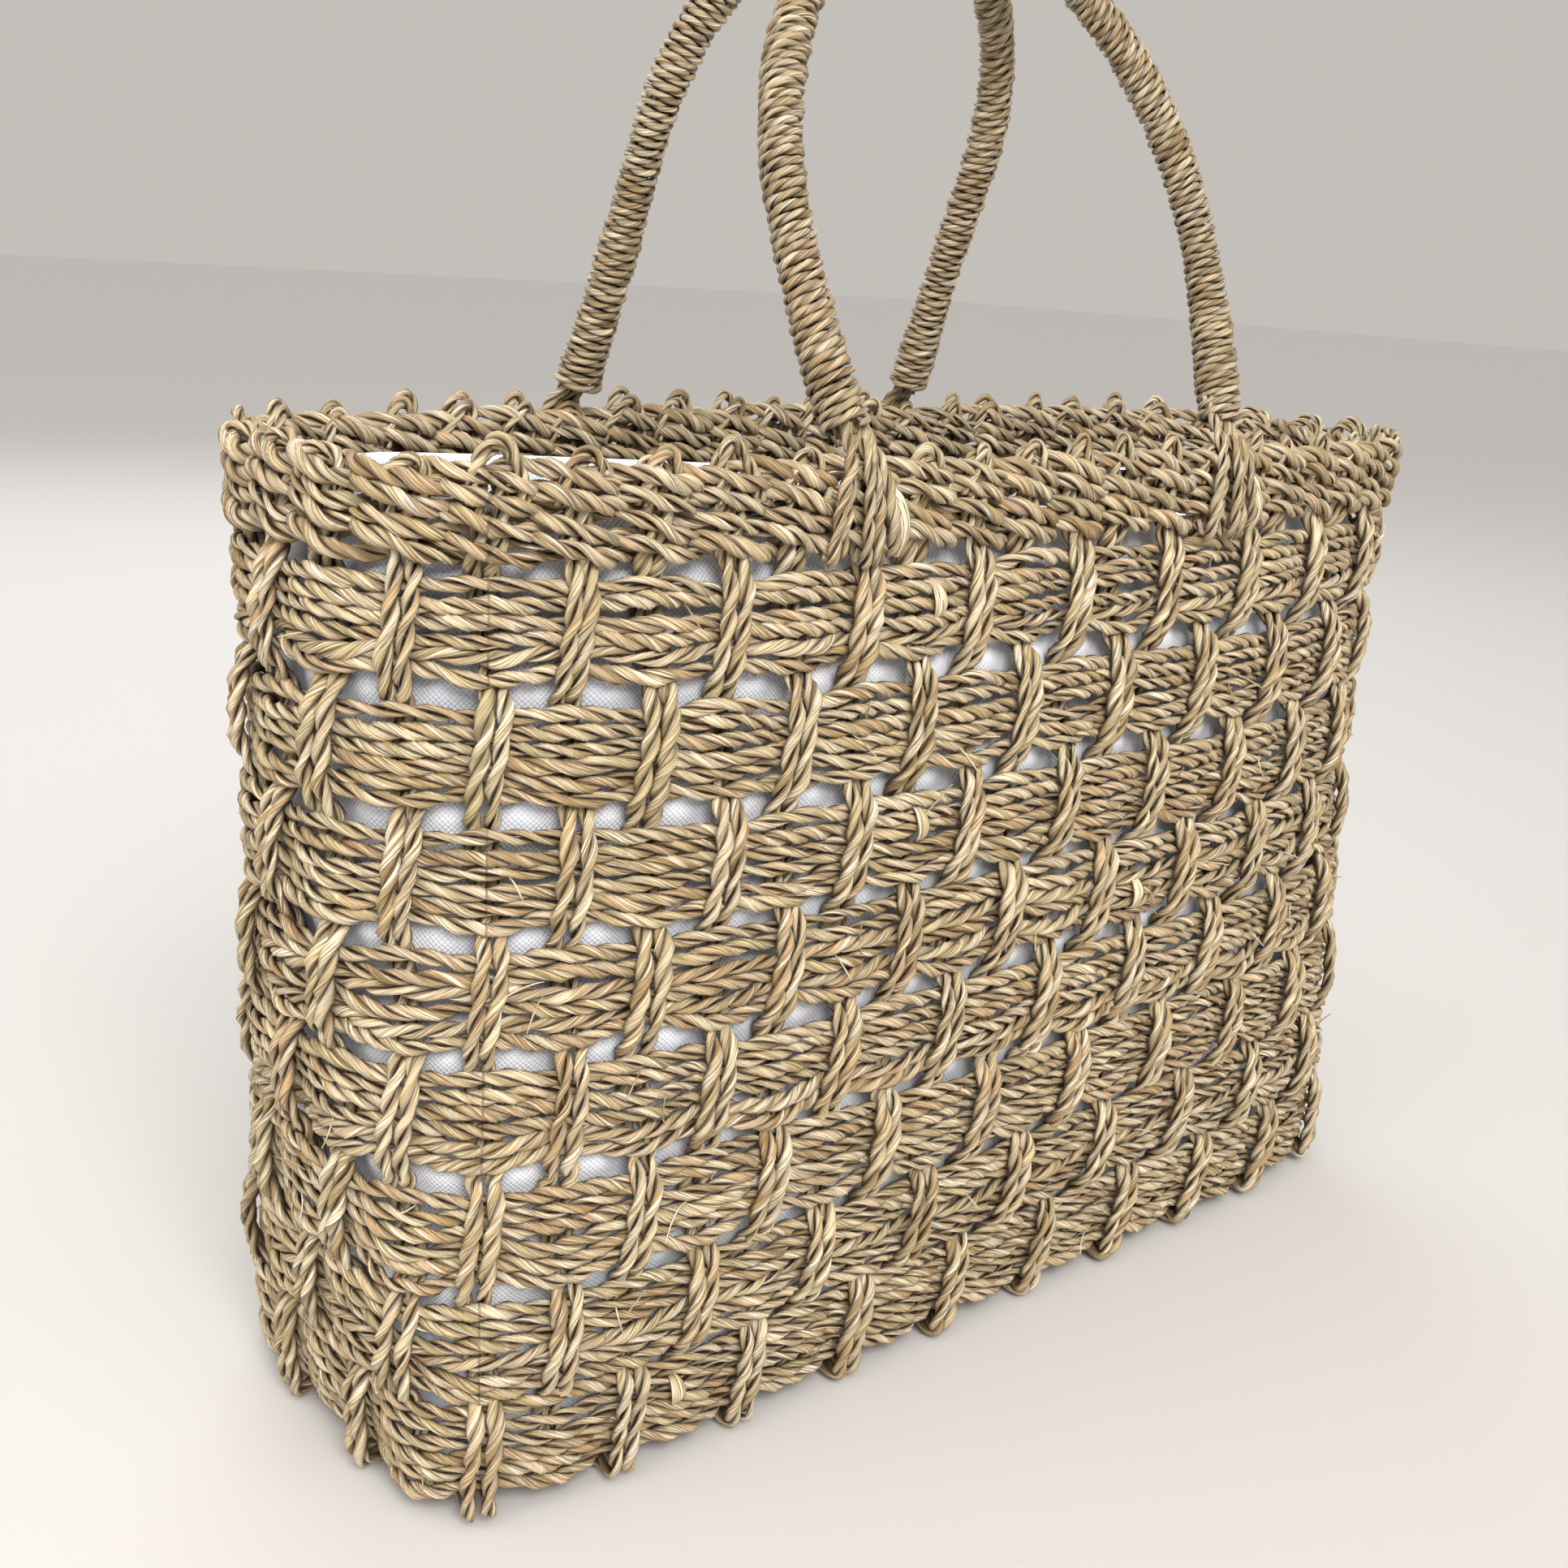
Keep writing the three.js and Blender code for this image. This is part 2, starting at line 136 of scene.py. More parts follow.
class Wall:
    """The middle surface of the wall, looked up by warp position and height."""

    lowest, highest, rows = -6.0, 306.0, 79
    columns = WARP_COUNT * 20

    def __init__(self):
        heights = np.linspace(self.lowest, self.highest, self.rows)
        grid = np.stack([outline(z, self.columns) for z in heights])
        along = np.roll(grid, -3, axis=1) - np.roll(grid, 3, axis=1)
        out = np.stack([along[..., 1], -along[..., 0]], axis=-1)
        out /= np.linalg.norm(out, axis=-1, keepdims=True)
        self.grid = np.concatenate([grid, out], axis=-1)

    def look_up(self, k, z):
        column = np.asarray(k, float) % WARP_COUNT / WARP_COUNT * self.columns
        row = (np.asarray(z, float) - self.lowest) / (self.highest - self.lowest) * (self.rows - 1)
        row = np.clip(row, 0, self.rows - 1.001)
        i, j = row.astype(int), column.astype(int)
        u, v = (row - i)[..., None], (column - j)[..., None]
        after = (j + 1) % self.columns
        j = j % self.columns
        low = self.grid[i, j] * (1 - v) + self.grid[i, after] * v
        high = self.grid[i + 1, j] * (1 - v) + self.grid[i + 1, after] * v
        return low * (1 - u) + high * u

    def point(self, k, z, offset):
        k, z, offset = np.broadcast_arrays(np.asarray(k, float), z, offset)
        found = self.look_up(k, z)
        flat = found[..., :2] + found[..., 2:] * offset[..., None]
        return np.concatenate([flat, z[..., None]], axis=-1)

    def normal(self, k, z):
        k, z = np.broadcast_arrays(np.asarray(k, float), z)
        out = self.look_up(k, z)[..., 2:]
        return np.concatenate([out, np.zeros_like(out[..., :1])], axis=-1)


WALL = Wall()


# ---- random but repeatable unevenness ------------------------------------------------------------

def wander(rng, distance, spacing, amount, lap=None):
    """A smooth random curve with a new value every so many millimetres. It closes after a lap."""
    reach = lap if lap else float(np.max(distance)) - float(np.min(distance)) + spacing
    count = max(3, int(round(reach / spacing)))
    knots = rng.uniform(-1, 1, count if lap else count + 2)
    position = (distance - np.min(distance)) / (reach / count)
    i = position.astype(int)
    f = position - i
    f = f * f * (3 - 2 * f)
    return amount * (knots[i % len(knots)] * (1 - f) + knots[(i + 1) % len(knots)] * f)


def band_wave(band, k):
    """How far a band strays from its level beside warp position k."""
    rng = np.random.default_rng(SEED + 100 + band)
    return wander(rng, np.asarray(k, float) % WARP_COUNT * WARP_SPACING, 90, 1.3,
                  lap=WARP_COUNT * WARP_SPACING)


def passes_outside(warp, band):
    return (warp + band) % 2 == 0


# ---- meshes from tubes ---------------------------------------------------------------------------

class Strands:
    """Tubes gathered into one mesh, with what the seagrass material needs to know at each point."""

    def __init__(self):
        self.points = []
        self.fibre = []
        self.tint = []
        self.painted_shade = []
        self.quads = []
        self.caps = []
        self.count = 0

    def add_tube(self, rings, fibre, tint, painted_shade, closed=False):
        steps, sides = rings.shape[:2]
        index = self.count + np.arange(steps * sides).reshape(steps, sides)
        here = index if closed else index[:-1]
        there = np.roll(index, -1, axis=0) if closed else index[1:]
        turned_here = np.roll(here, -1, axis=1)
        turned_there = np.roll(there, -1, axis=1)
        quads = np.stack([here, turned_here, turned_there, there], axis=-1)
        self.quads.append(quads.reshape(-1, 4))
        if not closed:
            self.caps.append(index[0][::-1])
            self.caps.append(index[-1])
        self.points.append(rings.reshape(-1, 3))
        self.fibre.append(fibre.reshape(-1, 3))
        self.tint.append(tint.reshape(-1))
        self.painted_shade.append(painted_shade.reshape(-1))
        self.count += steps * sides

    def build(self, name, material):
        points = np.concatenate(self.points) * MM
        quads = np.concatenate(self.quads)
        loops = np.concatenate([quads.reshape(-1)] + self.caps)
        sizes = np.concatenate([np.full(len(quads), 4), [len(cap) for cap in self.caps]]).astype(int)
        starts = np.concatenate([[0], np.cumsum(sizes)[:-1]])
        mesh = bpy.data.meshes.new(name)
        mesh.vertices.add(len(points))
        mesh.vertices.foreach_set("co", points.astype(np.float32).ravel())
        mesh.loops.add(len(loops))
        mesh.loops.foreach_set("vertex_index", loops.astype(np.int32))
        mesh.polygons.add(len(sizes))
        mesh.polygons.foreach_set("loop_start", starts.astype(np.int32))
        mesh.polygons.foreach_set("use_smooth", np.ones(len(sizes), bool))
        mesh.update(calc_edges=True)
        put_attribute(mesh, "fibre", "FLOAT_VECTOR", "vector", np.concatenate(self.fibre))
        put_attribute(mesh, "tint", "FLOAT", "value", np.concatenate(self.tint))
        put_attribute(mesh, "painted_shade", "FLOAT", "value", np.concatenate(self.painted_shade))
        mesh.materials.append(material)
        piece = bpy.data.objects.new(name, mesh)
        bpy.context.collection.objects.link(piece)
        return piece


def put_attribute(mesh, name, kind, field, values):
    attribute = mesh.attributes.new(name, kind, "POINT")
    attribute.data.foreach_set(field, np.asarray(values, np.float32).ravel())


def smooth_step(start, end, value):
    t = np.clip((value - start) / (end - start), 0, 1)
    return t * t * (3 - 2 * t)


def unit(vectors):
    return vectors / np.maximum(np.linalg.norm(vectors, axis=-1, keepdims=True), 1e-9)


def resample(path, normal, step):
    """The same line with points at equal distances, and its directions."""
    walked = np.concatenate([[0], np.cumsum(np.linalg.norm(np.diff(path, axis=0), axis=1))])
    count = max(4, int(walked[-1] / step))
    wanted = np.linspace(0, walked[-1], count)
    path = np.stack([np.interp(wanted, walked, path[:, a]) for a in range(3)], axis=1)
    normal = np.stack([np.interp(wanted, walked, normal[:, a]) for a in range(3)], axis=1)
    return path, normal, wanted


def frames_along(path, normal, closed):
    """The forward, outward and sideways directions at each point of a line."""
    if closed:
        forward = np.roll(path, -1, axis=0) - np.roll(path, 1, axis=0)
    else:
        forward = np.gradient(path, axis=0)
    forward = unit(forward)
    outward = unit(normal - forward * np.sum(normal * forward, axis=1, keepdims=True))
    return forward, outward, np.cross(forward, outward)


LEAF_LENGTH = 90            # a ply changes its leaf about every so many millimetres

# A ply's thickness, its width, how far its folds cut in, and how far its middle lies from the
# cord's middle, all as shares of its even radius.
PLY_THICKNESS = 1.08
PLY_WIDTH = 1.22
PLY_FOLDS = 0.11
PLY_APART = 0.95
FLANK_SHADE = 0.92          # how dark a ply is on the side turned away from the viewer


def add_cord(strands, rng, path, normal, cord, closed=False, twist=None, seen_inside=False):
    """Two plies laid round a line. twist gives the turn at each point where it isn't even.

    Painted shade darkens the side away from the normal, unless the cord is also seen from inside the
    basket.
    """
    distance = np.concatenate([[0], np.cumsum(np.linalg.norm(np.diff(path, axis=0), axis=1))])
    lap = distance[-1] + np.linalg.norm(path[0] - path[-1]) if closed else None
    _, outward, sideways = frames_along(path, normal, closed)
    if twist is None:
        turns = lap / round(lap / cord["pitch"]) if closed else cord["pitch"]
        twist = 2 * np.pi * distance / turns
        twist = twist + wander(rng, distance, 60, 1.1, lap) + wander(rng, distance, 17, 0.45, lap)
    twist = twist + rng.uniform(0, 2 * np.pi)
    theta = np.arange(cord["sides"]) / cord["sides"] * 2 * np.pi
    radius = cord["diameter"] / 4
    for ply in range(2):
        turn = (twist + ply * np.pi)[:, None]
        radial = np.cos(turn) * outward + np.sin(turn) * sideways
        tangential = np.cos(turn) * sideways - np.sin(turn) * outward
        fat = (1 + wander(rng, distance, 19, cord["uneven"], lap)
               + wander(rng, distance, 6, cord["uneven"] * 0.35, lap))[:, None]
        flat = PLY_WIDTH + wander(rng, distance, 24, 0.16, lap)[:, None]
        roll = wander(rng, distance, 16, 1.6, lap)[:, None]
        folds = np.cos(3 * theta[None] + 2 * roll) + 0.6 * np.cos(5 * theta[None] - 3 * roll)
        folded = 1 + PLY_FOLDS * folds
        apart = radius * (PLY_APART + wander(rng, distance, 21, 0.1, lap))[:, None]
        middle = path + apart * (np.cos(turn) * outward + cord["lay"] * np.sin(turn) * sideways)
        depth = (radius * PLY_THICKNESS * fat * folded)[..., None] * np.cos(theta)[None, :, None]
        width = (radius * flat * fat * folded)[..., None] * np.sin(theta)[None, :, None]
        rings = middle[:, None] + depth * radial[:, None] + width * tangential[:, None]
        leaf = ((distance + rng.uniform(0, LEAF_LENGTH)) / LEAF_LENGTH).astype(int)
        leaf_tints = rng.uniform(0, 1, leaf.max() + 2)
        leaf_tints[leaf[-1]] = leaf_tints[leaf[0]] if closed else leaf_tints[leaf[-1]]
        shape = rings.shape[:2]
        fibre = np.empty(shape + (3,))
        fibre[..., 0] = distance[:, None] + rng.uniform(0, 9000)
        fibre[..., 1] = 3 * np.cos(theta)[None]
        fibre[..., 2] = 3 * np.sin(theta)[None]
        tint = np.broadcast_to(leaf_tints[leaf][:, None], shape)
        facing = np.cos(theta)[None, :, None] * radial[:, None]
        facing = facing + np.sin(theta)[None, :, None] * tangential[:, None]
        shown = np.sum(facing * outward[:, None], axis=-1)
        if seen_inside:
            shown = np.abs(shown)
        # painted shade: the groove where a ply turns to its partner and the flank turned away from the
        # outside are darkened
        groove = smooth_step(-0.15, -0.85, np.cos(theta))[None]
        painted_shade = 1 - (1 - groove) * (1 - FLANK_SHADE * smooth_step(0.3, -0.5, shown))
        strands.add_tube(rings, fibre, tint, painted_shade, closed)


def add_leaf(strands, path, normal, width, thickness, tint):
    """A single flat leaf along a line, narrower at both ends."""
    distance = np.concatenate([[0], np.cumsum(np.linalg.norm(np.diff(path, axis=0), axis=1))])
    _, outward, sideways = frames_along(path, normal, False)
    theta = np.arange(8) / 8 * 2 * np.pi
    taper = np.sin(np.pi * np.linspace(0.06, 0.94, len(path))) ** 0.4
    across = (width / 2 * taper)[:, None, None] * np.cos(theta)[None, :, None] * sideways[:, None]
    through = thickness / 2 * np.sin(theta)[None, :, None] * outward[:, None]
    shape = (len(path), len(theta))
    fibre = np.empty(shape + (3,))
    fibre[..., 0] = distance[:, None] + 900 * tint
    fibre[..., 1] = width / 2 * np.cos(theta)[None]
    fibre[..., 2] = np.sin(theta)[None]
    strands.add_tube(path[:, None] + across + through, fibre, np.full(shape, tint), np.zeros(shape))


# ---- wall bands, rim rows and base bands ---------------------------------------------------------

STRAYS_IN_BAND = 12         # thin fibres that stand off a band
LEAF_ENDS_IN_BAND = 2       # flat leaf ends tucked over a band's cords
STRAY_WIDTH = 0.5
STRAY_THICKNESS = 0.4
LEAF_END_LENGTH = 10.5
LEAF_END_THICKNESS = 0.5


def add_band_ends(strands, rng, band):
    """Stray fibres and tucked leaf ends, where the band passes outside a warp."""
    t = np.linspace(0, 1, 16)
    for number in range(STRAYS_IN_BAND + LEAF_ENDS_IN_BAND):
        k = 2 * rng.integers(0, WARP_COUNT // 2) + (band + 1) % 2 + rng.uniform(-0.35, 0.35)
        middle = BAND_HEIGHTS[band - 1] + rng.uniform(-7, 7)
        angle, length = rng.uniform(0, 2 * np.pi), rng.uniform(5, 13)
        if number < STRAYS_IN_BAND:
            z = middle + length * math.sin(angle) * t ** 1.5
            path = WALL.point(k + length * math.cos(angle) * t / WARP_SPACING, z, 2.4 + 4.0 * t ** 2)
            width, thickness = STRAY_WIDTH, STRAY_THICKNESS
            tint = rng.uniform(0.2, 0.9)
        else:
            z = middle + LEAF_END_LENGTH * (0.5 - t)
            path = WALL.point(k + 0.05 * t, z, 1.4 + 3.8 * np.sin(np.pi * t) ** 0.5)
            width, thickness = rng.uniform(4, 5.4), LEAF_END_THICKNESS
            tint = rng.uniform(0.5, 0.85)
        add_leaf(strands, path, WALL.normal(k, z), width, thickness, tint)


def ring_positions(step):
    return np.arange(0, WARP_COUNT, step / WARP_SPACING)


def wall_band(band):
    """Six cords side by side, pushed in by the warps outside them and out by those behind."""
    strands = Strands()
    rng = np.random.default_rng(SEED + band)
    k = ring_positions(BAND_CORD["step"])
    lap = WARP_COUNT * WARP_SPACING
    top_spacing, bottom_spacing = BAND_CORD_SPACING
    spacing = top_spacing + (bottom_spacing - top_spacing) * (band - 1) / (BAND_COUNT - 1)
    level = BAND_HEIGHTS[band - 1] + band_wave(band, k)
    push = np.cos(np.pi * (k + band))
    for row in range(CORDS_IN_BAND):
        place = (CORDS_IN_BAND - 1) / 2 - row
        z = level + place * spacing * (1 - 0.08 * push)
        z = z + wander(rng, k * WARP_SPACING, 22, 0.95, lap)
        offset = -BAND_SWAY * push + wander(rng, k * WARP_SPACING, 20, 0.9, lap)
        hand = -1 if rng.uniform() < REVERSE_TWIST else 1
        cord = dict(BAND_CORD, pitch=hand * BAND_CORD["pitch"] * rng.uniform(0.85, 1.2))
        add_cord(strands, rng, WALL.point(k, z, offset), WALL.normal(k, z), cord, closed=True)
    add_band_ends(strands, rng, band)
    return strands


def rim_row(row):
    """Two cords twined: one passes outside each warp and the other behind it."""
    strands = Strands()
    rng = np.random.default_rng(SEED + 20 + row)
    k = ring_positions(RIM_CORD["step"])
    lap = WARP_COUNT * WARP_SPACING
    for partner in range(2):
        turn = np.pi * (k + row + partner)
        offset = RIM_SWAY * np.tanh(2.0 * np.cos(turn))
        z = ROW_HEIGHTS[row - 1] - RIM_TWINE * np.sin(turn)
        z = z + wander(rng, k * WARP_SPACING, 26, 1.2, lap)
        offset = offset + wander(rng, k * WARP_SPACING, 26, 0.8, lap)
        add_cord(strands, rng, WALL.point(k, z, offset), WALL.normal(k, z), RIM_CORD,
                 closed=True, seen_inside=True)
    return strands


BASE_WEAVE_Z = 5.2          # the middle height of the woven base
BASE_SWAY = 2.1
CORDS_IN_BASE_BAND = 5
BASE_CORD_SPACING = 4.5


def cross_warp_x(warp):
    return WALL.point(warp, 10.0, 0.0)[0]


def base_band(band):
    """Cords laid lengthwise that pass over and under the cross warps."""
    strands = Strands()
    rng = np.random.default_rng(SEED + 40 + band)
    low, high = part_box(f"base_band_{band}")
    middle = (low[1] + high[1]) / 2 / MM
    x = np.arange(low[0] / MM, high[0] / MM, BAND_CORD["step"])
    crossings = [cross_warp_x(warp) for warp in range(1, LONG_SIDE_WARPS)]
    position = np.interp(x, crossings, np.arange(1, LONG_SIDE_WARPS))
    z = BASE_WEAVE_Z + 0.9 * np.cos(np.pi * (position + band))
    for row in range(CORDS_IN_BASE_BAND):
        y = middle + (row - (CORDS_IN_BASE_BAND - 1) / 2) * BASE_CORD_SPACING
        y = y + wander(rng, x, 40, 0.5)
        path = np.stack([x, y, z + wander(rng, x, 30, 0.2)], axis=1)
        normal = np.tile([0.0, 0.0, -1.0], (len(x), 1))
        add_cord(strands, rng, path, normal, BAND_CORD)
    return strands


# ---- warps ---------------------------------------------------------------------------------------

FOOT_Z = 3.9                # where a warp turns in under the lowest band
BASE_TUCK = 34
CORNER_TUCK = 12
RIM_ENTRY_Z = 266.0
LOOP_HEIGHT = 5.6           # above the rim
LOOP_HEIGHT_UNDER_FOOT = 2.0
LOOP_DROP_AT_ENDS = 2.5     # how much lower the loops of the short sides are
LOOP_WIDTH = 0.62           # in warp spacings
LOOP_ROOT = 9               # how far below the rim a loop starts


def warp_wall_route(warp, z):
    """Offset from the wall and sideways shift of a warp at the heights z."""
    offset = np.zeros_like(z)
    shift = np.zeros_like(z)
    for band in range(1, BAND_COUNT + 1):
        centre = BAND_HEIGHTS[band - 1] + float(band_wave(band, np.array([warp]))[0])
        u = (z - centre) / (BAND_PITCH / 2)
        near = np.abs(u) <= 1
        if band == 1:
            near |= (u > 1) & (u < 1.2)
        if band == BAND_COUNT:
            near |= u < -1
        sign = 1 if passes_outside(warp, band) else -1
        shape = 1 - np.abs(np.clip(u, -1, 1)) ** 3.2
        if band == BAND_COUNT:
            shape = np.where(u < 0, 1.0, shape)
        offset = np.where(near, sign * WARP_SWAY * shape, offset)
        shift = np.where(near, sign * WARP_SLANT * np.sin(np.pi / 2 * np.clip(u, -1, 1)), shift)
    return offset, shift


def warp_wall_points(rng, warp, cord_side, top):
    """One cord of a warp from the foot of the wall to its top."""
    outside = passes_outside(warp, BAND_COUNT)
    foot = FOOT_Z if outside else BASE_WEAVE_Z + BASE_SWAY
    z = np.concatenate([np.arange(foot, top, 1.5), [top]])
    offset, shift = warp_wall_route(warp, z)
    rim_share = np.clip((z - RIM_ENTRY_Z) / 6, 0, 1)
    offset = offset * (1 - rim_share)
    pair = WARP_PAIR_GAP / 2 / WARP_SPACING * (1 + wander(rng, z, 40, 0.14))
    k = warp + cord_side * pair + shift * (1 - rim_share) + wander(rng, z, 45, 0.022)
    return WALL.point(k, z, offset), WALL.normal(k, z)


def under_foot(warp):
    """Whether the warp ends under a handle's foot, where no loop stands above the rim."""
    x, y, _ = WALL.point(warp, WALL_HEIGHT, 0.0)
    handle = HANDLES["front"] if y < 0 else HANDLES["back"]
    return any(abs(x - foot_x(handle, side)) < FOOT_CLEARANCE for side in (-1, 1))


def add_loop(strands, rng, warp):
    """The warp's end bent over into a small loop, and tucked down beside the next warp."""
    t = np.linspace(0, 1, 40)
    width = LOOP_WIDTH + rng.uniform(-0.14, 0.12)
    height = LOOP_HEIGHT_UNDER_FOOT if under_foot(warp) else LOOP_HEIGHT + rng.uniform(-2.0, 1.4)
    if abs(WALL.point(warp, WALL_HEIGHT, 0.0)[0]) > 0.93 * TOP["half_length"]:
        height -= LOOP_DROP_AT_ENDS
    for cord in range(2):
        lean = rng.uniform(-0.12, 0.12)
        k = warp - 0.2 + width * (1 - np.cos(np.pi * t)) / 2 + lean * np.sin(np.pi * t)
        rise = LOOP_ROOT + height - 2.4 * cord
        z = WALL_HEIGHT - LOOP_ROOT + rise * np.sin(np.pi * t) ** 0.75
        offset = 1.4 - 2.8 * cord + rng.uniform(1.2, 2.6) * np.sin(2 * np.pi * t)
        path, normal, _ = resample(WALL.point(k, z, offset), WALL.normal(k, z), LOOP_CORD["step"])
        add_cord(strands, rng, path, normal, LOOP_CORD, seen_inside=True)


def without_repeats(points, normals):
    """Drops a line's repeated points, so that every step has a direction."""
    keep = np.concatenate([[True], np.linalg.norm(np.diff(points, axis=0), axis=1) > 0.2])
    return points[keep], normals[keep]


def smooth_line(points, rounds):
    for _ in range(rounds):
        points = points.copy()
        points[1:-1] = (points[:-2] + 2 * points[1:-1] + points[2:]) / 4
    return points


def finish_warp(strands, rng, points, normals):
    points, normals = without_repeats(points, normals)
    points, normals, _ = resample(points, normals, WARP_CORD["step"])
    points = smooth_line(points, 2)
    normals = unit(smooth_line(normals, 3))
    add_cord(strands, rng, points, normals, WARP_CORD)


WARP_TOP = WALL_HEIGHT - 4


def base_height(warp, y):
    """The cross warp's height under the base, over one base band and under the next."""
    low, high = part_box("base_band_1")
    first = (low[1] + high[1]) / 2 / MM
    last = -first
    band = 1 + (y - first) / (last - first) * (BASE_BAND_COUNT - 1)
    return BASE_WEAVE_Z - BASE_SWAY * np.cos(np.pi * (band + warp))


def cross_warp(warp):
    """Two cords up the front wall, across the base and up the back wall."""
    strands = Strands()
    rng = np.random.default_rng(SEED + 60 + warp)
    back = 2 * LONG_SIDE_WARPS + SHORT_SIDE_WARPS - warp
    for side in (-1, 1):
        front_points, front_normals = warp_wall_points(rng, warp, side, WARP_TOP)
        back_points, back_normals = warp_wall_points(rng, back, -side, WARP_TOP)
        start, end = front_points[0], back_points[0]
        t = np.linspace(0, 1, 90)[1:-1]
        y = start[1] + (end[1] - start[1]) * t
        x = start[0] + (end[0] - start[0]) * t
        edge = np.clip(np.minimum(t, 1 - t) / 0.12, 0, 1)
        foot_z = start[2] * (1 - t) + end[2] * t
        z = base_height(warp, y) * edge + foot_z * (1 - edge)
        points = np.concatenate([front_points[::-1], np.stack([x, y, z], axis=1), back_points])
        down = np.tile([0.0, 0.0, -1.0], (len(t), 1))
        normals = np.concatenate([front_normals[::-1], down, back_normals])
        finish_warp(strands, rng, points, normals)
    add_loop(strands, rng, warp)
    add_loop(strands, rng, back)
    return strands


def end_warp(warp, tuck):
    """Two cords of a short side or a corner, tucked in over the base at their foot."""
    strands = Strands()
    rng = np.random.default_rng(SEED + 90 + warp)
    for side in (-1, 1):
        points, normals = warp_wall_points(rng, warp, side, WARP_TOP)
        inward = -WALL.normal(warp, 10.0)
        t = np.linspace(1, 0, max(4, int(tuck / 2)))[:-1]
        rise = (BASE_WEAVE_Z + BASE_SWAY + 0.4 - points[0][2]) * np.minimum(1, 2 * t)
        tucked = points[0] + inward * (tuck * t)[:, None] + np.array([0, 0, 1]) * rise[:, None]
        down = np.tile([0.0, 0.0, -1.0], (len(t), 1))
        points = np.concatenate([tucked, points])
        normals = np.concatenate([down, normals])
        finish_warp(strands, rng, points, normals)
    add_loop(strands, rng, warp)
    return strands


# ---- handles -------------------------------------------------------------------------------------

def foot_x(handle, side):
    return handle["centre_x"] + side * handle["foot"]


def handle_point(handle, across, rise):
    """A point in the leaning plane of a handle, from the middle between its feet."""
    across, rise = np.broadcast_arrays(across, rise)
    y = handle["wall_side"] * (HANDLE_RIM_Y - rise * math.sin(HANDLE_LEAN))
    z = WALL_HEIGHT + rise * math.cos(HANDLE_LEAN)
    return np.stack([handle["centre_x"] + across, y, z], axis=-1)


def handle_line(handle, first_rise):
    """The centre line of a handle from one foot to the other, and the direction out of its plane."""
    rise_up = np.arange(first_rise, handle["leg"], 1.0)
    spread = handle["half_span"] - handle["foot"]
    span_up = handle["foot"] + spread * np.sin(rise_up / handle["leg"] * np.pi / 2)
    angle = np.linspace(0, np.pi, 240)
    crown = handle["leg"] + handle["crown"] * np.sin(angle)
    rise = np.concatenate([rise_up, crown, rise_up[::-1]])
    across = np.concatenate([-span_up, -handle["half_span"] * np.cos(angle), span_up[::-1]])
    points = handle_point(handle, across, rise)
    out = np.array([0, handle["wall_side"] * math.cos(HANDLE_LEAN), math.sin(HANDLE_LEAN)])
    return points, np.tile(out, (len(points), 1))


WRAP_FOOT_RISE = 9.5
WRAP_PITCH = 2.7
WRAP_RIDGE = 0.6            # the ridge of the wrap's chevrons, in radians from the handle's outer side
WRAP_CHEVRON = 1.2          # how far along the handle the ridge stands ahead
WRAP_RADIUS = 4.7
WRAP_RADIUS_AT_FEET = 5.9


def wrap_radius(share):
    """The radius of the wrap's middle line, fuller at both feet."""
    near_foot = np.clip(1 - np.minimum(share, 1 - share) / 0.16, 0, 1)
    return WRAP_RADIUS + (WRAP_RADIUS_AT_FEET - WRAP_RADIUS) * near_foot ** 1.5


def handle_wrap(handle):
    """A thin cord wound round the handle. Its turns lean towards a ridge from both sides."""
    strands = Strands()
    rng = np.random.default_rng(SEED + 300 + handle["wall_side"])
    line, out = handle_line(handle, WRAP_FOOT_RISE)
    line, out, distance = resample(line, out, 0.5)
    _, outward, sideways = frames_along(line, out, False)
    length = distance[-1]
    around = 2 * np.pi * wrap_radius(0.5)
    turns = (length - 2 * WRAP_CHEVRON) / WRAP_PITCH
    angle = np.arange(0, turns * 2 * np.pi, WRAP_CORD["step"] / around * 2 * np.pi)
    ridge = WRAP_RIDGE + wander(rng, angle, 90, 1.2)
    from_ridge = np.abs((angle - ridge + np.pi) % (2 * np.pi) - np.pi)
    position = angle / (2 * np.pi) * WRAP_PITCH + WRAP_CHEVRON * (1 - from_ridge / np.pi)
    position = position + wander(rng, position, 9, 0.35)
    position = np.clip(position, 0, length)
    radius = wrap_radius(position / length) + wander(rng, position, 14, 0.3)
    axes = [np.stack([np.interp(position, distance, part[:, a]) for a in range(3)], axis=1)
            for part in (line, outward, sideways)]
    centre, outward, sideways = axes
    radial = np.cos(angle)[:, None] * outward + np.sin(angle)[:, None] * sideways
    path = centre + radial * radius[:, None]
    twist = -2 * np.pi * angle * wrap_radius(0.5) / WRAP_CORD["pitch"] + wander(rng, position, 5, 1.2)
    add_cord(strands, rng, path, radial, WRAP_CORD, twist=twist)
    return strands


CORE_CORDS = 6
CORE_RADIUS = 2.3
CORE_CORD = dict(TAIL_CORD, diameter=2.6, sides=6)


def handle_core(handle):
    """The bundle of cords inside the wrap."""
    strands = Strands()
    rng = np.random.default_rng(SEED + 320 + handle["wall_side"])
    line, out = handle_line(handle, HANDLE_PIVOT_RISE - 5)
    line, out, distance = resample(line, out, 4.0)
    _, outward, sideways = frames_along(line, out, False)
    for cord in range(CORE_CORDS):
        turn = cord / CORE_CORDS * 2 * np.pi + distance / 160
        around = np.cos(turn)[:, None] * outward + np.sin(turn)[:, None] * sideways
        path = line + CORE_RADIUS * around
        add_cord(strands, rng, path, outward, CORE_CORD, seen_inside=True)
    return strands


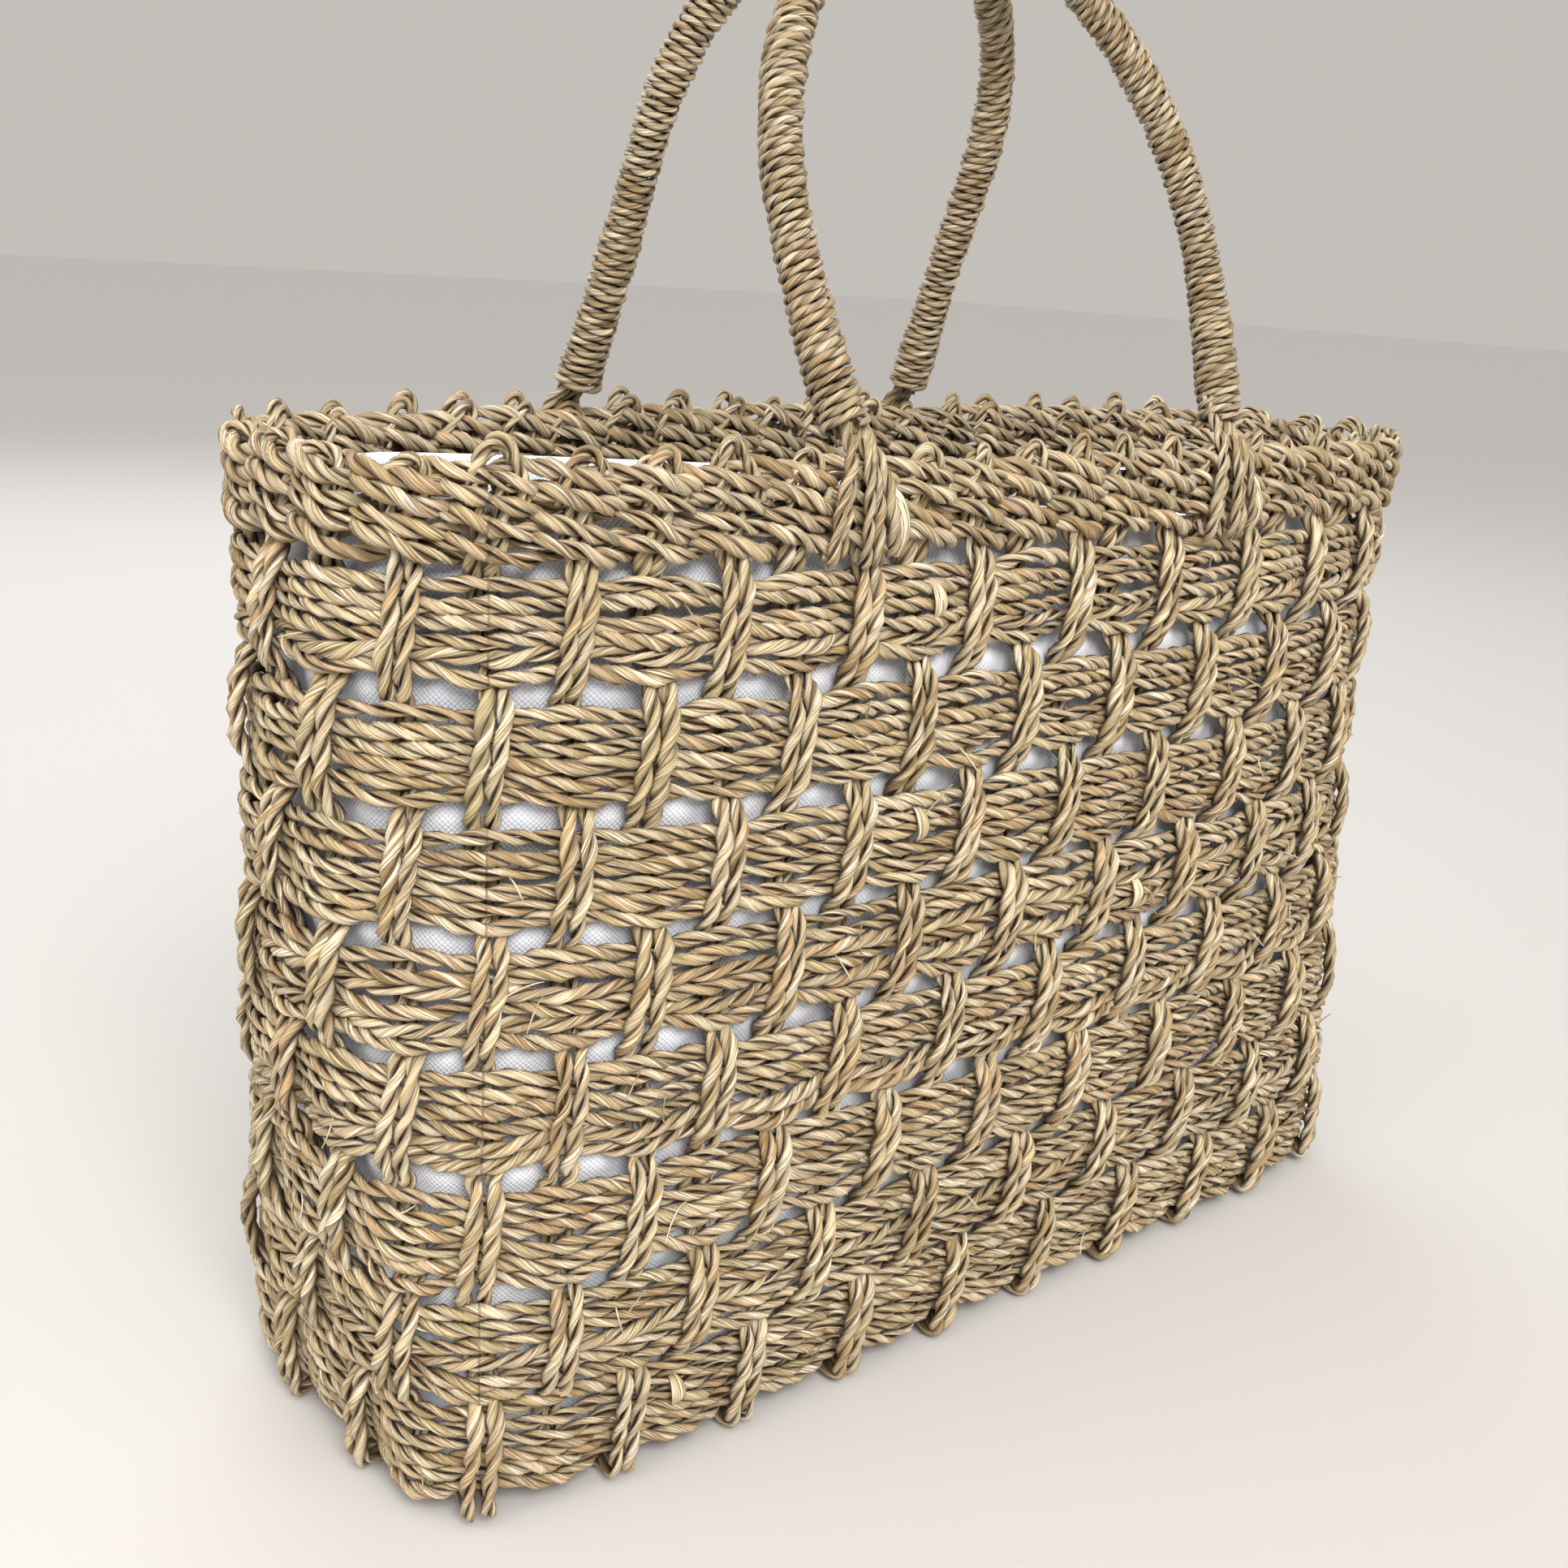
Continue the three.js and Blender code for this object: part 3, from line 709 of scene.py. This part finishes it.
# Each cord's shift along the wall from the middle of the foot, where it leaves the handle and
# where it ends, how far it hangs below the rim's top edge, and how far it lies in front of the rest.
TAILS = (
    {"start": -3.2, "end": -12.0, "length": 23, "front": 0.6},
    {"start": -1.8, "end": -8.2, "length": 21, "front": -0.6},
    {"start": 0.8, "end": -0.5, "length": 24, "front": 1.2},
    {"start": 2.2, "end": 4.0, "length": 24, "front": 0.0},
    {"start": 3.6, "end": 8.5, "length": 21, "front": 1.0},
)


# A leaf's end left flat beside the cords: shift from the foot, depth below the rim, and offset.
LEAF_TAIL = ((5.0, 3.0, 6.0), (9.5, 9.0, 8.8), (11.8, 17.0, 8.8), (11.0, 24.0, 6.5))
LEAF_TAIL_WIDTH = 4.4
LEAF_TAIL_THICKNESS = 0.7
LEAF_TAIL_TINT = 0.8


def handle_tails(handle, side):
    """Cord ends that fan out of the handle over the rim, and hook in under its lowest row."""
    strands = Strands()
    rng = np.random.default_rng(SEED + 340 + 2 * handle["wall_side"] + side)
    wall_side = handle["wall_side"]
    foot = foot_x(handle, side)
    out = np.array([0.0, wall_side, 0.0])
    for tail in TAILS:
        start, end, hem = tail["start"], tail["end"], WALL_HEIGHT - tail["length"]
        depth = tail["front"]
        inside = handle_point(handle, side * handle["foot"] + 0.6 * start, HANDLE_PIVOT_RISE + 7)
        mouth = handle_point(handle, side * handle["foot"] + start, HANDLE_PIVOT_RISE - 4) + 2 * out
        over = rim_point(foot + 0.6 * start + 0.3 * end, wall_side, WALL_HEIGHT + 1, 6.4 + depth)
        down = rim_point(foot + 0.75 * end, wall_side, WALL_HEIGHT - 8, 8.0 + depth)
        low = rim_point(foot + end, wall_side, hem + 3, 7.8 + depth / 2)
        hook = rim_point(foot + end + 1.2, wall_side, hem - 1.5, 5.0)
        behind = rim_point(foot + end + 2.0, wall_side, hem + 2, 1.0)
        knots = np.array([inside, mouth, over, down, low, hook, behind])
        path = smooth_line(curve_through(knots, 24), 4)
        normal = np.tile(out, (len(path), 1))
        path, normal, _ = resample(path, normal, TAIL_CORD["step"])
        add_cord(strands, rng, path, normal, TAIL_CORD, seen_inside=True)
    knots = [rim_point(foot + shift, wall_side, WALL_HEIGHT - drop, offset)
             for shift, drop, offset in LEAF_TAIL]
    path = curve_through(np.array(knots), 12)
    normal = np.tile(out, (len(path), 1))
    add_leaf(strands, path, normal, LEAF_TAIL_WIDTH, LEAF_TAIL_THICKNESS, LEAF_TAIL_TINT)
    return strands


def rim_point(x, wall_side, z, offset):
    """A point on the front or back wall at a given x."""
    k = np.linspace(1, 17, 321) if wall_side < 0 else np.linspace(25, 41, 321)
    found = WALL.point(k, np.full_like(k, z), np.zeros_like(k))
    best = k[np.argmin(np.abs(found[:, 0] - x))]
    return WALL.point(best, z, offset)


def curve_through(knots, steps):
    """A smooth line through the knots, with so many points between each two."""
    padded = np.concatenate([[2 * knots[0] - knots[1]], knots, [2 * knots[-1] - knots[-2]]])
    t = np.linspace(0, 1, steps, endpoint=False)[:, None]
    pieces = []
    for a, b, c, d in zip(padded, padded[1:], padded[2:], padded[3:]):
        pieces.append(0.5 * (2 * b + (c - a) * t + (2 * a - 5 * b + 4 * c - d) * t ** 2
                             + (3 * b - a - 3 * c + d) * t ** 3))
    return np.concatenate(pieces + [knots[-1:]])


# ---- cotton liner --------------------------------------------------------------------------------

LINER_OFFSET = -8.4         # from the wall's middle
LINER_BULGE = 5.0           # how far the cloth swells out into the gaps between bands
LINER_TOP = 281
LINER_FLOOR = 11.2
LINER_SAG = 12               # how much lower the hem hangs at the right end
LINER_COLUMNS = WARP_COUNT * 10
LINER_ROWS = 84
LINER_FLOOR_RINGS = 14
LINER_HEM = 13
LINER_THICKNESS = 0.7
THREAD_PITCH = 1.6          # two of the cloth's threads


def cotton_liner():
    """An open bag with a flat floor. It swells into the wall's gaps, and its hem is turned in."""
    rng = np.random.default_rng(SEED + 400)
    k = np.arange(LINER_COLUMNS) / LINER_COLUMNS * WARP_COUNT
    k, z = np.meshgrid(k, np.linspace(LINER_FLOOR, LINER_TOP, LINER_ROWS))
    in_gap = 0.5 - 0.5 * np.cos(2 * np.pi * (z - BAND_HEIGHTS[0]) / BAND_PITCH)
    between_warps = np.sin(np.pi * k) ** 2
    swell = LINER_BULGE * in_gap ** 1.5 * (0.5 + 0.5 * between_warps)
    swell = swell * np.clip((LINER_TOP - LINER_HEM - z) / 6, 0, 1) * np.clip(z / 60, 0.3, 1)
    rumple = sum(np.sin((3 + 2 * i) * 2 * np.pi * k / WARP_COUNT + rng.uniform(0, 6) + z * 0.012 * (i - 3))
                 for i in range(7)) / 7
    hem = 0.7 * np.clip((z - (LINER_TOP - LINER_HEM)) / 2, 0, 1)
    offset = LINER_OFFSET + swell - 0.8 * (rumple + 1) * z / LINER_TOP - hem
    wall = WALL.point(k, z, offset)
    slack = np.clip(wall[..., 0] / TOP["half_length"] + 0.75, 0, 1) * (z / LINER_TOP) ** 6
    wall[..., 2] -= LINER_SAG * slack
    shares = np.linspace(0.04, 1, LINER_FLOOR_RINGS)[:-1]
    floor = np.stack([wall[0] * np.array([share, share, 1]) for share in shares])
    return np.concatenate([floor, wall])


def build_liner(material):
    grid = cotton_liner()
    rows, columns = grid.shape[:2]
    index = np.arange(rows * columns).reshape(rows, columns)
    quads = np.stack([index[:-1], np.roll(index[:-1], -1, axis=1),
                      np.roll(index[1:], -1, axis=1), index[1:]], axis=-1).reshape(-1, 4)
    faces = [tuple(q) for q in quads.tolist()] + [tuple(index[0].tolist()[::-1])]
    mesh = bpy.data.meshes.new("cotton_liner_cloth")
    mesh.from_pydata((grid.reshape(-1, 3) * MM).tolist(), [], faces)
    mesh.polygons.foreach_set("use_smooth", np.ones(len(faces), bool))
    walked = np.concatenate([[0], np.cumsum(np.linalg.norm(np.diff(grid[:, 0], axis=0), axis=1))])
    around = np.arange(columns) / columns * WARP_COUNT * WARP_SPACING
    threads = np.zeros((rows, columns, 3))
    threads[..., 0] = around[None]
    threads[..., 1] = walked[:, None]
    put_attribute(mesh, "threads", "FLOAT_VECTOR", "vector", threads)
    mesh.materials.append(material)
    piece = bpy.data.objects.new("cotton_liner_cloth", mesh)
    bpy.context.collection.objects.link(piece)
    solid = piece.modifiers.new("cloth thickness", "SOLIDIFY")
    solid.thickness = LINER_THICKNESS * MM
    solid.offset = 0
    return piece


# ---- materials -----------------------------------------------------------------------------------

class Shader:
    """A material's node tree, with short calls for what the materials here use."""

    def __init__(self, name):
        self.material = bpy.data.materials.new(name)
        self.material.use_nodes = True
        self.nodes = self.material.node_tree.nodes
        self.links = self.material.node_tree.links
        self.surface = self.nodes["Principled BSDF"]

    def node(self, kind, **settings):
        made = self.nodes.new(kind)
        for key, value in settings.items():
            setattr(made, key, value)
        return made

    def join(self, source, target):
        self.links.new(source, target)

    def attribute(self, name):
        return self.node("ShaderNodeAttribute", attribute_name=name)

    def stretched_noise(self, vector, stretch, detail=4.0):
        scale = self.node("ShaderNodeVectorMath", operation="MULTIPLY")
        self.join(vector, scale.inputs[0])
        scale.inputs[1].default_value = stretch
        noise = self.node("ShaderNodeTexNoise")
        noise.inputs["Scale"].default_value = 1.0
        noise.inputs["Detail"].default_value = detail
        self.join(scale.outputs[0], noise.inputs["Vector"])
        return noise.outputs["Fac"]

    def ramp(self, value, stops):
        made = self.node("ShaderNodeValToRGB")
        elements = made.color_ramp.elements
        while len(elements) < len(stops):
            elements.new(0.5)
        for element, (place, colour) in zip(elements, stops):
            element.position = place
            element.color = (*colour, 1) if len(colour) == 3 else colour
        self.join(value, made.inputs[0])
        return made.outputs["Color"]

    def spread(self, value, low, high, to_low, to_high):
        made = self.node("ShaderNodeMapRange")
        self.join(value, made.inputs["Value"])
        for key, number in (("From Min", low), ("From Max", high), ("To Min", to_low), ("To Max", to_high)):
            made.inputs[key].default_value = number
        return made.outputs["Result"]

    def distance_from(self, value, middle):
        """How far a value is from a middle value, either way."""
        less = self.node("ShaderNodeMath", operation="SUBTRACT")
        self.join(value, less.inputs[0])
        less.inputs[1].default_value = middle
        size = self.node("ShaderNodeMath", operation="ABSOLUTE")
        self.join(less.outputs[0], size.inputs[0])
        return size.outputs[0]

    def mix(self, amount, first, second):
        made = self.node("ShaderNodeMix", data_type="RGBA")
        self.feed(made.inputs[0], amount)
        self.feed(made.inputs[6], first)
        self.feed(made.inputs[7], second)
        return made.outputs[2]

    def feed(self, socket, value):
        if isinstance(value, bpy.types.NodeSocket):
            self.join(value, socket)
        elif isinstance(value, tuple):
            socket.default_value = (*value, 1)
        else:
            socket.default_value = value

    def bump(self, height, strength, distance):
        made = self.node("ShaderNodeBump")
        made.inputs["Strength"].default_value = strength
        made.inputs["Distance"].default_value = distance
        self.join(height, made.inputs["Height"])
        self.join(made.outputs[0], self.surface.inputs["Normal"])


LEAF_COLOURS = (
    (0.00, (0.44, 0.29, 0.13)),
    (0.15, (0.54, 0.40, 0.21)),
    (0.32, (0.66, 0.52, 0.31)),
    (0.48, (0.52, 0.43, 0.23)),
    (0.62, (0.74, 0.59, 0.37)),
    (0.80, (0.82, 0.69, 0.46)),
    (0.92, (0.64, 0.47, 0.27)),
    (1.00, (0.54, 0.37, 0.20)),
)
LEAF_HIGHLIGHT = (0.98, 0.90, 0.74)
LEAF_SHADE = (0.42, 0.27, 0.12)
LEAF_FOLD = (0.12, 0.065, 0.026)
LEAF_STAIN = (0.46, 0.27, 0.13)
# the colour of the painted shade in creases and on turned-away flanks
CREVICE_PAINTED_SHADE = (0.060, 0.030, 0.011)


def seagrass(name, bright):
    """Dry twisted leaf: a tint for each leaf, pale and dark streaks, thin folds, and painted shade in the
    creases and on turned-away flanks.
    """
    shader = Shader(name)
    fibre = shader.attribute("fibre").outputs["Vector"]
    tint = shader.attribute("tint").outputs["Fac"]
    painted_shade = shader.attribute("painted_shade").outputs["Fac"]

    def lit(colour):
        return tuple(min(1.0, bright * c) for c in colour)

    leaf = shader.ramp(tint, [(stop, lit(colour)) for stop, colour in LEAF_COLOURS])
    streak = shader.stretched_noise(fibre, (0.045, 0.55, 0.55), 4)
    fine = shader.stretched_noise(fibre, (0.05, 1.9, 1.9), 4)
    blotch = shader.stretched_noise(fibre, (0.09, 0.3, 0.3), 3)
    pale = shader.mix(shader.spread(streak, 0.50, 0.68, 0, 0.85), leaf, lit(LEAF_HIGHLIGHT))
    dull = shader.mix(shader.spread(streak, 0.46, 0.33, 0, 0.8), pale, lit(LEAF_SHADE))
    stained = shader.mix(shader.spread(blotch, 0.56, 0.74, 0, 0.5), dull, lit(LEAF_STAIN))
    fold = shader.spread(shader.distance_from(fine, 0.5), 0.0, 0.045, 0.9, 0)
    folded = shader.mix(fold, stained, lit(LEAF_FOLD))
    # painted shade: creases and turned-away flanks are darkened towards a near-black brown
    shaded = shader.mix(painted_shade, folded, CREVICE_PAINTED_SHADE)
    shader.join(shaded, shader.surface.inputs["Base Color"])
    shader.surface.inputs["Base Color"].default_value = (*lit(LEAF_COLOURS[2][1]), 1)
    shader.join(shader.spread(streak, 0.3, 0.7, 0.62, 0.42), shader.surface.inputs["Roughness"])
    shader.surface.inputs["Specular IOR Level"].default_value = 0.4
    relief = shader.mix(shader.spread(fold, 0, 1, 0, 0.8), streak, (0.0, 0.0, 0.0))
    shader.bump(relief, 0.8, 0.0011)
    return shader.material


def cotton(name):
    """Plain-woven white cotton, with its threads as bump and as slight shade between them."""
    shader = Shader(name)
    threads = shader.attribute("threads").outputs["Vector"]
    parts = shader.node("ShaderNodeSeparateXYZ")
    shader.join(threads, parts.inputs[0])
    waves = []
    for axis in (0, 1):
        turn = shader.node("ShaderNodeMath", operation="MULTIPLY")
        shader.join(parts.outputs[axis], turn.inputs[0])
        turn.inputs[1].default_value = 2 * math.pi / THREAD_PITCH
        wave = shader.node("ShaderNodeMath", operation="SINE")
        shader.join(turn.outputs[0], wave.inputs[0])
        waves.append(wave.outputs[0])
    weave = shader.node("ShaderNodeMath", operation="MULTIPLY")
    shader.join(waves[0], weave.inputs[0])
    shader.join(waves[1], weave.inputs[1])
    rumple = shader.stretched_noise(threads, (0.03, 0.03, 0.03), 3)
    white = shader.ramp(rumple, [
        (0.3, (0.73, 0.77, 0.84)),
        (0.5, (0.80, 0.82, 0.87)),
        (0.7, (0.84, 0.84, 0.87)),
    ])
    holes = shader.spread(weave.outputs[0], -1, 0.1, 0.7, 0)
    cloth = shader.mix(holes, white, (0.40, 0.45, 0.56))
    shader.join(cloth, shader.surface.inputs["Base Color"])
    shader.surface.inputs["Roughness"].default_value = 0.92
    shader.surface.inputs["Sheen Weight"].default_value = 0.15
    shader.bump(weave.outputs[0], 0.35, 0.0003)
    return shader.material


# ---- assembly ------------------------------------------------------------------------------------

def place(strands, node, material, slot, body="basket"):
    piece = strands.build(f"{node}_cords", material)
    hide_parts(node)
    if body:
        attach(piece, body)
    return piece


def build_basket():
    bands = seagrass("seagrass bands", 1.0)
    warps = seagrass("seagrass warps", 1.06)
    rim = seagrass("seagrass rim", 0.92)
    for band in range(1, BAND_COUNT + 1):
        place(wall_band(band), f"wall_band_{band}", bands, "seagrass_bands")
    for row in range(1, RIM_ROW_COUNT + 1):
        place(rim_row(row), f"rim_row_{row}", rim, "seagrass_rim")
    for band in range(1, BASE_BAND_COUNT + 1):
        place(base_band(band), f"base_band_{band}", bands, "seagrass_bands")
    for warp in range(1, LONG_SIDE_WARPS):
        place(cross_warp(warp), f"cross_warp_{warp}", warps, "seagrass_warps")
    for step in range(1, SHORT_SIDE_WARPS):
        left = WARP_COUNT - step
        right = LONG_SIDE_WARPS + step
        place(end_warp(left, BASE_TUCK), f"left_warp_{step}", warps, "seagrass_warps")
        place(end_warp(right, BASE_TUCK), f"right_warp_{step}", warps, "seagrass_warps")
    corners = {
        "front_left": 0,
        "front_right": LONG_SIDE_WARPS,
        "back_right": LONG_SIDE_WARPS + SHORT_SIDE_WARPS,
        "back_left": 2 * LONG_SIDE_WARPS + SHORT_SIDE_WARPS,
    }
    for corner, warp in corners.items():
        place(end_warp(warp, CORNER_TUCK), f"corner_warp_{corner}", warps, "seagrass_warps")


def build_handles():
    straw = seagrass("seagrass handles", 0.9)
    for wall, handle in HANDLES.items():
        body = f"{wall}_handle"
        place(handle_wrap(handle), f"{wall}_handle_wrap", straw, "seagrass_handles", body)
        place(handle_core(handle), f"{wall}_handle_core", straw, "seagrass_handles", body)
        for name, side in (("left", -1), ("right", 1)):
            node = f"{wall}_handle_tails_{name}"
            piece = place(handle_tails(handle, side), node, straw, "seagrass_handles", None)
            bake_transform(piece)


def build_cloth():
    liner = build_liner(cotton("white cotton"))
    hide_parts("cotton_liner")
    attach(liner, "basket")


# ---- floor, light and camera ---------------------------------------------------------------------

CAMERA_PLACE = Vector((-0.4242, -0.4308, 0.3415))
CAMERA_YAW, CAMERA_PITCH, CAMERA_ROLL = (math.radians(a) for a in (41.22, 15.96, 3.66))
CAMERA_LENS = 42.04


def add_camera():
    forward = Vector((math.sin(CAMERA_YAW) * math.cos(CAMERA_PITCH),
                      math.cos(CAMERA_YAW) * math.cos(CAMERA_PITCH), -math.sin(CAMERA_PITCH)))
    level = Vector((math.cos(CAMERA_YAW), -math.sin(CAMERA_YAW), 0))
    upright = level.cross(forward)
    right = level * math.cos(CAMERA_ROLL) + upright * math.sin(CAMERA_ROLL)
    up = upright * math.cos(CAMERA_ROLL) - level * math.sin(CAMERA_ROLL)
    camera = bpy.data.objects.new("camera", bpy.data.cameras.new("camera"))
    bpy.context.collection.objects.link(camera)
    turn = Matrix((right, up, -forward)).transposed()
    camera.matrix_world = Matrix.Translation(CAMERA_PLACE) @ turn.to_4x4()
    camera.data.lens = CAMERA_LENS
    camera.data.sensor_width = 36
    camera.data.clip_start = 0.02
    bpy.context.scene.camera = camera


FLOOR_SIZE = 30
FLOOR_Z = -0.0004
FLOOR_COLOUR = (0.54, 0.525, 0.51, 1)


def add_floor():
    bpy.ops.mesh.primitive_plane_add(size=FLOOR_SIZE, location=(0, 0, FLOOR_Z))
    floor = bpy.context.object
    floor.name = "floor"
    shader = Shader("pale floor")
    shader.surface.inputs["Base Color"].default_value = FLOOR_COLOUR
    shader.surface.inputs["Roughness"].default_value = 0.75
    floor.data.materials.append(shader.material)


LIGHT_TARGET = Vector((0, 0, 0.15))


def add_area_light(name, place, size, power, colour):
    data = bpy.data.lights.new(name, "AREA")
    data.shape = "RECTANGLE"
    data.size, data.size_y = size
    data.energy = power
    data.color = colour
    light = bpy.data.objects.new(name, data)
    light.location = place
    aim = LIGHT_TARGET - Vector(place)
    light.rotation_euler = aim.to_track_quat("-Z", "Y").to_euler()
    bpy.context.collection.objects.link(light)


def add_lights():
    add_area_light("window", (-0.8, -1.5, 1.4), (0.9, 0.8), 41, (1.0, 0.97, 0.93))
    add_area_light("room", (-1.7, 0.2, 1.2), (1.4, 1.2), 10, (1.0, 0.96, 0.90))
    add_area_light("behind", (0.6, 1.6, 1.4), (1.6, 1.2), 18, (0.92, 0.96, 1.0))
    sky = bpy.data.objects.new("ceiling", bpy.data.lights.new("ceiling", "SUN"))
    sky.data.energy = 1.5
    sky.data.angle = math.radians(70)
    sky.rotation_euler = (math.radians(38), 0, math.radians(-28))
    bpy.context.collection.objects.link(sky)
    world = bpy.data.worlds.new("studio")
    world.use_nodes = True
    world.node_tree.nodes["Background"].inputs[0].default_value = (0.98, 0.93, 0.87, 1)
    world.node_tree.nodes["Background"].inputs[1].default_value = 0.56
    bpy.context.scene.world = world
    bpy.context.scene.view_settings.view_transform = "Standard"


add_camera()
build_basket()
build_handles()
build_cloth()
add_floor()
add_lights()
